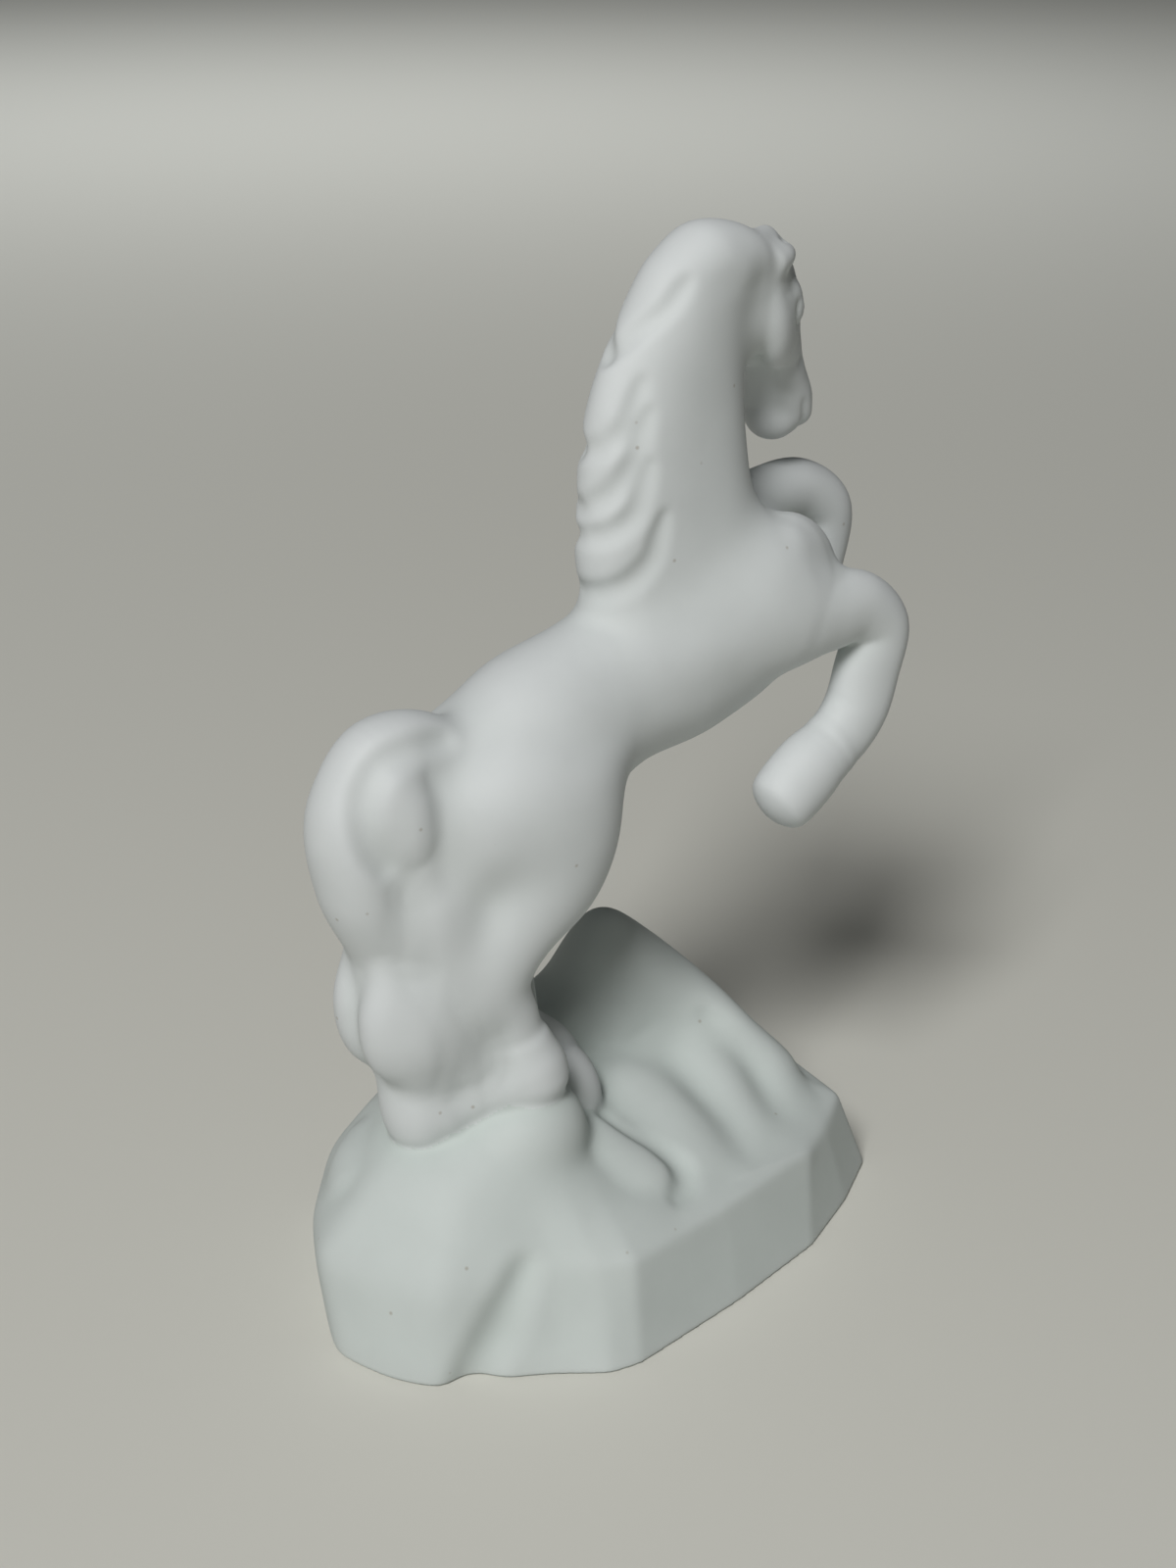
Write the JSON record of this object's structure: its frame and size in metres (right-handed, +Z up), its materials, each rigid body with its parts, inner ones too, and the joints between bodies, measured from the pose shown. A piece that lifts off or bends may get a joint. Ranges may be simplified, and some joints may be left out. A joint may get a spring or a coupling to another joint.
{
  "type": "unicorn figurine",
  "caption": "Rearing unicorn on a rocky base: free-standing white bisque figurine with folded forelegs, a lock mane and an arched tail that meets the rock.",
  "frame": {"origin": "on the surface that the rock stands on, under the middle of the rock", "axes": "+X the way the figure faces, +Y the figure's left, +Z up"},
  "size_m": [0.1112, 0.0702, 0.1547],
  "materials": {
    "bisque": "matt unglazed bisque",
    "rock_bisque": "matt unglazed bisque"
  },
  "bodies": {
    "root": {"rock_base": "rock_bisque", "trunk": "bisque", "neck": "bisque", "head": "bisque", "right_ear": "bisque", "left_ear": "bisque", "horn": "bisque", "mane": "bisque", "right_foreleg": "bisque", "left_foreleg": "bisque", "right_hind_leg": "bisque", "left_hind_leg": "bisque", "tail_inner_lock": "bisque", "tail": "bisque"}
  },
  "joints": []
}
